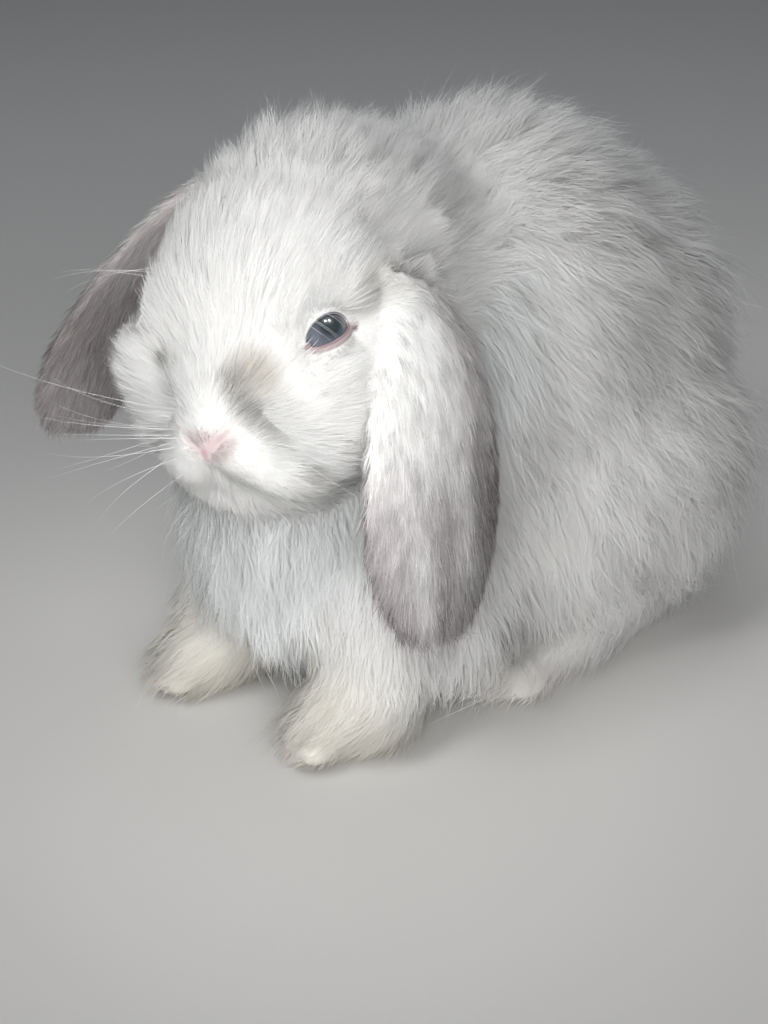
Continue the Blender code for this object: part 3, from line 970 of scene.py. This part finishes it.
def ribbons(path, normal, shares, width, long):
    """Tapering flat hairs along paths: vertices of each, all triangles, and the way each flat side faces."""
    n, stations = path.shape[:2]
    step = unit(np.gradient(path, axis=1))
    roll = RNG.uniform(-ROLL, ROLL, n)[:, None, None]
    across = unit(np.cross(step, normal[:, None]))
    lift = np.cross(across, step)
    aside = (across * np.cos(roll) + lift * np.sin(roll))[:, :-1]
    facing = -across * np.sin(roll) + lift * np.cos(roll)
    taper = (1 - 0.75 * shares[:-1] ** 1.5) * np.where(shares[:-1] == 0, 0.8, 1)
    half = width * MM / 2 * (0.75 + 0.5 * RNG.random(n) - 0.3 * long)[:, None] * taper[None, :]
    per = 2 * stations - 1
    co = np.empty((n, per, 3))
    co[:, 0:-1:2] = path[:, :-1] - aside * half[..., None]
    co[:, 1:-1:2] = path[:, :-1] + aside * half[..., None]
    co[:, -1] = path[:, -1]
    pattern = []
    for k in range(0, per - 3, 2):
        pattern += [(k, k + 1, k + 3), (k, k + 3, k + 2)]
    pattern.append((per - 3, per - 2, per - 1))
    faces = np.array(pattern)[None] + np.arange(n)[:, None, None] * per
    a, b, c = (co[:, k] for k in pattern[0])
    flip = np.sum(np.cross(b - a, c - a) * normal, axis=1) < 0
    faces[flip] = faces[flip][:, :, ::-1]
    return co, faces.reshape(-1, 3), facing


def grow(style, growth, material):
    """One piece of the coat: flat tapering hairs, most of them gathered in locks."""
    n = style.count
    mine = np.isin(growth.region[growth.tris], style.regions).sum(1) >= 2
    if style.where is not None:
        mine &= style.where(growth)[growth.tris].sum(1) >= 2
    tris = growth.tris[mine]
    a, b, c = (growth.co[tris[:, k]] for k in range(3))
    weight = lengths(np.cross(b - a, c - a)) * growth.density[tris].mean(1)
    tri, share = scatter(weight, n)
    corners = tris[tri]

    def pick(values):
        got = values[corners]
        return np.sum(got * (share if got.ndim == 2 else share[..., None]), axis=1)

    root, normal, flow = pick(growth.co), unit(pick(growth.normal)), unit(pick(growth.flow))
    flow = unit(flattened(flow, normal))
    reach, low, high = pick(growth.reach), pick(growth.low), pick(growth.high)
    strength = RNG.uniform(*MARKING, n)[:, None]
    colour = np.clip(WHITE + (pick(growth.colour) - WHITE) * strength, 0.03, 1)
    owner, count = locks(root, weight.sum() / growth.density.max() / 2, style)
    under = RNG.random(n) < UNDERCOAT

    # how far each hair leans, turns aside and reaches, by itself and with its lock
    own = np.where(under, 1.0, 0.5)
    lean, swing, reaching = (RNG.normal(0, 1, count)[owner] for _ in range(3))
    low = np.clip(low + own * RNG.normal(0, 7, n) + style.frizz * LOCK_LEAN * lean, *ROOT_ANGLES)
    high = np.clip(high + own * RNG.normal(0, 6, n) + style.frizz * LOCK_LEAN * lean, *TIP_ANGLES)
    high = np.maximum(high, low + 3)
    spin = own * RNG.normal(0, 0.12 + 1.6 * style.frizz, n) + style.frizz * LOCK_SWING * swing
    along = flow * np.cos(spin)[:, None] + np.cross(normal, flow) * np.sin(spin)[:, None]
    aside = np.cross(normal, along)
    rise = (np.sin(np.radians(high)) - np.sin(np.radians(low))) / np.radians(high - low)
    long = RNG.random(n) < style.stray
    length = reach * MM / rise * (SHORTEST + VARIETY * RNG.random(n)) * np.where(long, STRAY_LENGTH, 1.0)
    length *= np.where(under, UNDERCOAT_LENGTH, 1 + style.frizz * 1.2 * np.clip(reaching, -1.5, 1.2))
    shares = np.linspace(0, 1, style.stations)
    path = strand_path(root, normal, along, length, low, high, shares)

    # each lock's hairs drawn to one of their own
    lead = RNG.permutation(n)
    chief = np.zeros(count, int)
    chief[owner[lead]] = lead
    chief = chief[owner]
    same = np.sum(normal * normal[chief], axis=1) > SAME_FACING
    pull = np.where(same & ~under, style.pull, 0.0) * (0.6 + 0.8 * RNG.random(n))
    hold = pull[:, None] * shares[None, :] ** 1.4
    path = path + (path[chief] - path) * np.clip(hold, 0, FIRMEST_HOLD)[..., None]

    # waves, and nothing beyond the box or under the floor
    wave = RNG.random((2, n)) * 2 * math.pi
    amount = style.frizz * length[:, None] * shares[None, :] ** 1.3
    for way, size, phase in ((aside, 1, wave[0]), (normal, 0.5, wave[1])):
        bend = size * amount * np.sin(4 * shares[None, :] + phase[:, None])
        path = path + way[:, None] * bend[..., None]
    path = held_in_box(path, COAT_SPARE)
    floor = (0.25 + 0.5 * RNG.random(n)) * MM
    path[..., 2] = np.maximum(path[..., 2], floor[:, None])

    co, faces, facing = ribbons(path, normal, shares, style.width, long)
    mesh = mesh_of(style.name, co.reshape(-1, 3), faces)
    dressed(style.name, mesh, material)
    shade = unit(normal[:, None] + style.relief * facing + RNG.normal(0, style.relief / 4, (n, 1, 3)))
    shade = np.concatenate([np.repeat(shade[:, :-1], 2, axis=1), shade[:, -1:]], axis=1)
    mesh.normals_split_custom_set_from_vertices(shade.reshape(-1, 3).tolist())

    depth = np.concatenate([np.repeat(shares[:-1], 2), [1.0]])
    tone = 1 + style.mottle * (RNG.random(n) - 0.5 + 1.5 * (RNG.random(count) - 0.5)[owner])
    # hairs darker towards their roots: partly their own tone, partly painted shade deep in the coat
    tone = tone[:, None, None] * (0.90 + 0.10 * depth)[None, :, None]
    paint(mesh, "coat", np.clip(colour[:, None] * tone, 0, 0.95).reshape(-1, 3))
    spot = growth.uv[corners[np.arange(n), share.argmax(1)]]
    patch = np.zeros(co.shape[:2] + (2,))
    patch[:, 0:-1:2, 0], patch[:, 1:-1:2, 0] = -HAIR_PATCH / 2, HAIR_PATCH / 2
    patch[..., 1] = (depth[None] - 0.5) * HAIR_PATCH
    uv = (spot[:, None] + patch).reshape(-1, 2)[faces.ravel()]
    mesh.uv_layers.new(name="OFBake").data.foreach_set("uv", uv.astype(np.float32).ravel())


# --- materials


def shader(name, roughness):
    made = bpy.data.materials.new(name)
    made.use_nodes = True
    nodes = made.node_tree.nodes
    return made, nodes, made.node_tree.links, settle(nodes["Principled BSDF"], Roughness=roughness)


def settle(node, **values):
    """Input values by name, with _ for a space."""
    for name, value in values.items():
        node.inputs[name.replace("_", " ")].default_value = value
    return node


def painted(nodes, name):
    """The colours that paint() left under this name."""
    layer = nodes.new("ShaderNodeVertexColor")
    layer.layer_name = name
    return layer.outputs["Color"]


def noise(nodes, scale, detail=2):
    return settle(nodes.new("ShaderNodeTexNoise"), Scale=scale, Detail=detail).outputs["Fac"]


def grained(name, scale, dark, light, roughness, coat=0.0):
    """A plain surface with a fine grain between two colours."""
    made, nodes, links, surface = shader(name, roughness)
    ramp = nodes.new("ShaderNodeValToRGB")
    for stop, colour in zip(ramp.color_ramp.elements, (dark, light)):
        stop.color = (*colour, 1)
    links.new(noise(nodes, scale), ramp.inputs["Fac"])
    links.new(ramp.outputs["Color"], surface.inputs["Base Color"])
    settle(surface, Coat_Weight=coat)
    return made


def coat_material():
    made, nodes, links, surface = shader("coat_hair", 0.55)
    colour = painted(nodes, "coat")
    links.new(colour, surface.inputs["Base Color"])
    settle(surface, Specular_IOR_Level=0.25)
    through = nodes.new("ShaderNodeBsdfTranslucent")
    links.new(colour, through.inputs["Color"])
    mix = settle(nodes.new("ShaderNodeMixShader"), Fac=0.42)
    links.new(surface.outputs["BSDF"], mix.inputs[1])
    links.new(through.outputs["BSDF"], mix.inputs[2])
    links.new(mix.outputs["Shader"], nodes["Material Output"].inputs["Surface"])
    return made


def skin_material():
    made, nodes, links, surface = shader("skin_under_coat", 0.8)
    bump = settle(nodes.new("ShaderNodeBump"), Strength=0.5, Distance=0.0004)
    links.new(noise(nodes, 1800, 4), bump.inputs["Height"])
    links.new(bump.outputs["Normal"], surface.inputs["Normal"])
    links.new(painted(nodes, "coat"), surface.inputs["Base Color"])
    return made


# --- building the rabbit

skin_mesh, OUTLINE, OUTLINE_TRIS = build_skin()
growth = Growth(skin_mesh, OUTLINE, OUTLINE_TRIS)
growth.uv = unwrap(growth.co, growth.normal, growth.region)
paint(skin_mesh, "coat", growth.colour)
skin = dressed("skin", skin_mesh, skin_material())
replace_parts(skin, *COAT_NODES, *both("ear"))
HAIR = coat_material()


def head_side(side):
    return lambda g: (g.head[:, 0] * side > 0)


def world_side(side):
    return lambda g: (g.co[:, 0] * side > 0)


STYLES = [
    Style("coat_face_left", (FACE,), 58000, 3, 0.18, 2.5, 0.15, 0.03, 0, 0.15, 0.05, head_side(LEFT)),
    Style("coat_face_right", (FACE,), 38000, 3, 0.18, 2.5, 0.15, 0.03, 0, 0.15, 0.05, head_side(RIGHT)),
    Style("coat_crown", (CROWN,), 30000, 4, 0.18, 3.5, 0.45, 0.10, 0.22),
    Style("coat_ruff", (CROWN, MANE), 9000, 4, 0.20, 5, 0.65, 0.09, 0.2, where=lambda g: ruff(g.head) > 0.4),
    Style("coat_mane", (MANE,), 24000, 4, 0.19, 4.5, 0.45, 0.13, 0.20),
    Style("coat_chest", (CHEST,), 21000, 4, 0.21, 5, 0.35, 0.10, 0.08),
    Style("coat_back", (BACK,), 35000, 4, 0.20, 5, 0.36, 0.13, 0.16),
    Style("coat_rump", (RUMP, TAIL), 16000, 4, 0.24, 6, 0.36, 0.13, 0.12),
    Style("coat_flank_left", (FLANK,), 31000, 4, 0.20, 5.5, 0.38, 0.14, 0.12, where=world_side(LEFT)),
    Style("coat_flank_right", (FLANK,), 13000, 4, 0.28, 6, 0.38, 0.14, 0.12, where=world_side(RIGHT)),
    Style("coat_legs", (LEGS,), 15000, 4, 0.24, 4, 0.35, 0.07, 0.04),
    Style("coat_feet", (FEET,), 22000, 3, 0.22, 3, 0.30, 0.06, 0.04),
    Style("coat_ear_left", (EAR_L,), 32000, 3, 0.17, 1.8, 0.2, 0.04, 0, 0.2, 0.30),
    Style("coat_ear_right", (EAR_R,), 24000, 3, 0.19, 2.0, 0.2, 0.02, 0, 0.2, 0.20),
]
for style in STYLES:
    grow(style, growth, HAIR)

# --- eyes

PUPIL_WAY = unit(np.array((0.679, -0.049, 0.732)))
PUPIL_ANGLE, IRIS_ANGLE = 21.5, 54  # degrees from the middle of the pupil
IRIS = (0.068, 0.078, 0.098)


def eye_material():
    made, nodes, links, surface = shader("wet_eye", 0.25)
    spread = settle(nodes.new("ShaderNodeMapRange"), To_Min=0.8, To_Max=1.2)
    mixed = nodes.new("ShaderNodeVectorMath")
    mixed.operation = "SCALE"
    links.new(noise(nodes, 2600, 3), spread.inputs["Value"])
    links.new(painted(nodes, "iris"), mixed.inputs[0])
    links.new(spread.outputs["Result"], mixed.inputs["Scale"])
    links.new(mixed.outputs["Vector"], surface.inputs["Base Color"])
    settle(surface, Coat_Weight=1.0, Coat_Roughness=0.02)
    return made


def eyeball(side, name, material):
    """A ball whose rings lie round the pupil, so its colours follow them."""
    around, down = 96, 110
    out = eye_turn(side) @ PUPIL_WAY
    aside = unit(np.cross(out, (0, 0, 1.0)))
    axes = HEAD_TURN @ np.stack([aside, np.cross(out, aside), out], -1)
    co, tris = sphere(EYE_AT[side], (EYE_RADIUS,) * 3, axes, (around, down))
    mesh = mesh_of(name, co, tris)
    off = np.concatenate([[0], np.repeat(np.arange(1, down) * 180 / down, around), [180]])
    turn = np.concatenate([[0], np.tile(np.arange(around), down - 1), [0]]).astype(int)
    ring = np.arange(around)
    spokes = averaged(RNG.normal(0, 1, around), np.stack([ring, np.roll(ring, 1)], -1), 1)
    fibre = spokes[turn] * (off > 2)
    along, up, _ = eye_axes(side)
    # painted shade of the upper lid, darkening the iris towards its upper outer side
    shaded = smoothstep(-0.1, 0.6, unit(to_head(co) - to_head(EYE_AT[side])) @ (along + up) / 1.4)
    colour = np.array(IRIS) * (1 + 0.22 * fibre + 0.25 * smoothstep(24, 40, off))[:, None]
    colour = colour * (1 - 0.32 * shaded[:, None])
    colour = tinted(colour, smoothstep(IRIS_ANGLE - 12, IRIS_ANGLE, off), (0.032, 0.036, 0.046))
    colour = tinted(colour, smoothstep(IRIS_ANGLE + 2, IRIS_ANGLE + 12, off), (0.16, 0.12, 0.12))
    pupil = 1 - smoothstep(PUPIL_ANGLE - 6, PUPIL_ANGLE + 6, off + fibre * 0.8)
    paint(mesh, "iris", np.clip(tinted(colour, pupil, (0.020, 0.028, 0.032)), 0, 1))
    return dressed(name, mesh, material)


def tube(points, radii, sides=6):
    """Vertices and triangles of a closed tapering tube along points, in metres."""
    points = np.asarray(points, float)
    step = unit(np.gradient(points, axis=0))
    guide = np.array((0.0, 0, 1)) if abs(step[0, 2]) < 0.9 else np.array((1.0, 0, 0))
    first = unit(np.cross(step, guide))
    second = np.cross(step, first)
    turn = (np.arange(sides) * 2 * math.pi / sides)[None, :, None]
    ring = (first[:, None] * np.cos(turn) + second[:, None] * np.sin(turn)) * radii[:, None, None]
    co = np.vstack([(points[:, None] + ring).reshape(-1, 3), points[:1], points[-1:]])
    start = len(points) * sides
    last, tris = start - sides, []
    for row in range(0, last, sides):
        for k in range(sides):
            a, b = row + k, row + (k + 1) % sides
            tris += [(a, b, b + sides), (a, b + sides, a + sides)]
    for k in range(sides):
        after = (k + 1) % sides
        tris += [(start, after, k), (start + 1, last + k, last + after)]
    return co, np.array(tris)


def on_eye(side, phi, theta, radius):
    """Head-frame points at degrees along and up from the opening's middle, mm from the eye's centre."""
    along, up, out = eye_axes(side)
    phi, theta = np.radians(np.atleast_1d(phi))[:, None], np.radians(np.atleast_1d(theta))[:, None]
    way = out * (np.cos(phi) * np.cos(theta)) + along * (np.sin(phi) * np.cos(theta)) + up * np.sin(theta)
    return to_head(EYE_AT[side]) + way * np.asarray(radius).reshape(-1, 1)


def lid_rim(side, upper, name, material):
    """The wet rim of one lid, with the small fold in the inner corner on the lower one."""
    share = np.sin(np.linspace(-1, 1, 60) * math.pi / 2)
    theta, size = (UPPER_ARCH, 0.20) if upper else (-LOWER_SAG, 0.30)
    edge = lid_edge(share)
    line = on_eye(side, share * HALF_LENGTH, theta * edge, EYE_RADIUS + 0.30)
    parts = [tube(from_head(line), (size * (0.55 + 0.45 * edge)) * MM, 10)]
    if not upper:
        corner = on_eye(side, 1.0 - HALF_LENGTH, -1.0, EYE_RADIUS + 0.1)[0]
        axes = HEAD_TURN @ np.stack(eye_axes(side), -1)
        parts.append(sphere(from_head(corner), (1.6, 0.8, 0.6), axes))
    return dressed(name, mesh_of(name, *joined(parts)), material)


LID_RIMS = {
    "upper": grained("dark_lid_rim", 900, (0.10, 0.09, 0.10), (0.20, 0.18, 0.19), 0.3, 0.5),
    "lower": grained("pink_lid_rim", 900, (0.20, 0.14, 0.15), (0.30, 0.21, 0.222), 0.3, 0.5),
}
WET = eye_material()
for side, word in ((LEFT, "left"), (RIGHT, "right")):
    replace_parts(eyeball(side, "eyeball_" + word, WET), "eye_" + word)
    for lid, material in LID_RIMS.items():
        lid_rim(side, lid == "upper", f"lid_rim_{lid}_{word}", material)


# --- whiskers, lashes and claws


def round_hairs(name, hairs, material):
    """Tapering round hairs; each is (points in metres, root radius in mm)."""
    parts = []
    for points, radius in hairs:
        share = np.linspace(0, 1, len(points))
        parts.append(tube(points, radius * MM * (1 - 0.85 * share), 5))
    dressed(name, mesh_of(name, *joined(parts)), material)


SKIN_TREE = BVHTree.FromPolygons(growth.co.tolist(), growth.tris.tolist())


def swept(root, way, droop, length, count=12):
    """A hair from a head-frame root, bending towards droop, with its root just under the skin."""
    share = np.linspace(0, 1, count)[:, None]
    way, droop = unit(np.asarray(way, float)), np.asarray(droop, float)
    line = np.asarray(root) + way * share * length + droop * share**2 * length
    start = Vector(from_head(line[:1])[0])
    near = SKIN_TREE.find_nearest(start)
    hair = from_head(line) + np.array(near[0] - near[1] * 0.5 * MM - start)
    return held_in_box(hair[None], WHISKER_SPARE)[0]


def scattered(way, amount):
    return np.array(way) + RNG.normal(0, amount, 3)


# Share of a whisker's length on each side, of a brow hair's, and the radii of both, mm.
WHISKER_SIDES = {LEFT: (0.55, 0.5, 0.035, 0.03), RIGHT: (1.15, 1, 0.055, 0.05)}
whiskers = []
for side, (share, brow_share, radius, brow_radius) in WHISKER_SIDES.items():
    for row in range(4):
        for column in range(4 - row % 2):
            root = (side * (11.5 + 2.4 * column), -30 + 2.8 * column, -10.0 - 3.4 * row)
            way = scattered((side, -0.40 + 0.14 * column, 0.22 - 0.27 * row), 0.07)
            droop = scattered((0, 0.26, -0.24), 0.04)
            length = (40 + 7 * column) * RNG.uniform(0.85, 1.15) * share
            whiskers.append((swept(root, way, droop, length), radius))
    for k in range(3):
        root = (side * (18 + 2.5 * k), 3 + 3 * k, 12)
        way = scattered((side * 0.95, -0.15 - 0.1 * k, 0.42), 0.08)
        length = RNG.uniform(34, 46) * brow_share
        whiskers.append((swept(root, way, (0, 0.15, -0.42), length), brow_radius))
    for k in range(3):
        root = (side * 23, -13 - 3 * k, -14 - 4 * k)
        way = (side, 0.1, -0.5 - 0.15 * k)
        whiskers.append((swept(root, way, (0, 0.3, -0.4), RNG.uniform(24, 34)), 0.05))
for k in range(-2, 3):
    way = scattered((0.35 * k, -0.35, -1), 0.1)
    whiskers.append((swept((3.0 * k, -26 - k % 2, -30), way, (0, 0.25, 0.0), RNG.uniform(16, 26)), 0.045))
WHISKER = grained("whisker", 400, (0.78, 0.78, 0.80), (0.92, 0.92, 0.92), 0.35)
round_hairs("whiskers", whiskers, WHISKER)


def lash(side, start, ahead, fall, lift, radius):
    """A hair from above the upper lid at start degrees along it, falling across the eye."""
    share = np.linspace(0, 1, 10)
    top = UPPER_ARCH * lid_edge(np.array([start / HALF_LENGTH]))[0] + 5
    away = EYE_RADIUS + 0.8 + lift * np.sin(share * math.pi * 0.6)
    return from_head(on_eye(side, start + ahead * share, top - fall * share, away)), radius


lashes = []
for side in SIDES:
    for start, ahead, fall in ((-23, 21, 50), (-20, 21, 52), (-33, 20, 42), (5, 11, 46)):
        lashes.append(lash(side, start, ahead, fall, 1.3, 0.03))
    for start in np.linspace(-28, 50, 32):
        ahead, fall = RNG.uniform(2, 14), RNG.uniform(5, 15)
        lashes.append(lash(side, start + RNG.normal(0, 1.5), ahead, fall, RNG.uniform(0.8, 2.2), 0.03))
round_hairs("lashes", lashes, WHISKER)


claws = []
for at, ahead, radius in toe_places():
    share = np.linspace(0, 1, 8)[:, None]
    line = at + ahead * (radius + 0.5 + 3.4 * share) + np.array((0, 0, -1.0)) * (0.5 + 3.0 * share**2)
    line[:, 2] = np.maximum(line[:, 2], 0.9)
    claws.append((line * MM, 0.65))
HORN = grained("horn_claw", 700, (0.38, 0.32, 0.29), (0.60, 0.53, 0.49), 0.3)
round_hairs("claws", claws, HORN)

# --- stage

CAMERA_AZIMUTH, CAMERA_ELEVATION, CAMERA_DISTANCE = 45.0, 28.0, 0.520
SENSOR_WIDTH, FOCAL_LENGTH = 36, 1716 / 1024  # mm, and in heights of the frame
CAMERA_TARGET = Vector(np.array((10.3, -26.5, 60.2)) * MM + CENTRING * MM)

FLOOR_HALF = 6
corners = np.array([(-1, -1, 0), (1, -1, 0), (1, 1, 0), (-1, 1, 0)]) * FLOOR_HALF
floor_mesh = mesh_of("floor", corners, [(0, 1, 2, 3)])
floor = object_of("floor", floor_mesh)
made, nodes, links, surface = shader("pale_floor", 0.8)
settle(surface, Base_Color=(0.60, 0.59, 0.575, 1))
floor_mesh.materials.append(made)

world = bpy.data.worlds.new("studio")
bpy.context.scene.world = world
bpy.context.scene.view_settings.view_transform = "Standard"
world.use_nodes = True
settle(world.node_tree.nodes["Background"], Color=(0.50, 0.53, 0.58, 1), Strength=0.3)


def softbox(name, at, target, size, power, colour, spread=180):
    """A square lamp that faces its target: metres, watts, and the degrees its light spreads over."""
    light = bpy.data.lights.new(name, "AREA")
    light.energy, light.size, light.color, light.spread = power, size, colour, math.radians(spread)
    made = object_of(name, light)
    made.location = at
    made.rotation_euler = (Vector(target) - Vector(at)).to_track_quat("-Z", "Y").to_euler()
    made.visible_glossy = False
    return made


DAYLIGHT, WARM, COOL = (1.0, 1.0, 0.99), (1.0, 0.985, 0.96), (0.985, 0.99, 1.0)
BODY_MIDDLE = (0, 0, 0.08)
softbox("face", (0.22, -0.27, 0.23), (0.040, -0.10, 0.115), 0.10, 0.056, DAYLIGHT, 60)
softbox("brow", (0.05, -0.40, 0.50), (0.03, -0.09, 0.12), 0.20, 0.14, DAYLIGHT, 50)
softbox("low", (0.25, -0.50, 0.04), (0.04, -0.09, 0.08), 0.20, 0.168, DAYLIGHT, 50)
softbox("fill", (0.9, -0.6, 0.6), BODY_MIDDLE, 0.8, 5.5, WARM)
softbox("top", (-0.2, 0.1, 1.0), BODY_MIDDLE, 0.7, 2.0, COOL)

azimuth, elevation = math.radians(CAMERA_AZIMUTH), math.radians(CAMERA_ELEVATION)
level = math.cos(elevation)
back = Vector((math.sin(azimuth) * level, -math.cos(azimuth) * level, math.sin(elevation)))
lens = bpy.data.cameras.new("camera")
lens.sensor_width = SENSOR_WIDTH
lens.lens = SENSOR_WIDTH * FOCAL_LENGTH
lens.clip_start = 0.01
camera = object_of("camera", lens)
camera.location = CAMERA_TARGET + back * CAMERA_DISTANCE
camera.rotation_mode = "QUATERNION"
camera.rotation_quaternion = (-back).to_track_quat("-Z", "Y")
bpy.context.scene.camera = camera

# Two small windows, placed where the left eye mirrors them as a double catch light.
WINDOW_DISTANCE = 0.7
for number, (phi, theta) in enumerate(((-0.6, 22.3), (7.1, 19.4))):
    spot = Vector(from_head(on_eye(LEFT, phi, theta, EYE_RADIUS))[0])
    facing = (spot - Vector(EYE_AT[LEFT])).normalized()
    to_camera = (camera.location - spot).normalized()
    mirrored = facing * 2 * facing.dot(to_camera) - to_camera
    window = softbox(f"window_{number}", spot + mirrored * WINDOW_DISTANCE, spot, 0.06, 1.0, (1, 1, 1))
    window.visible_glossy = True
    window.visible_diffuse = False
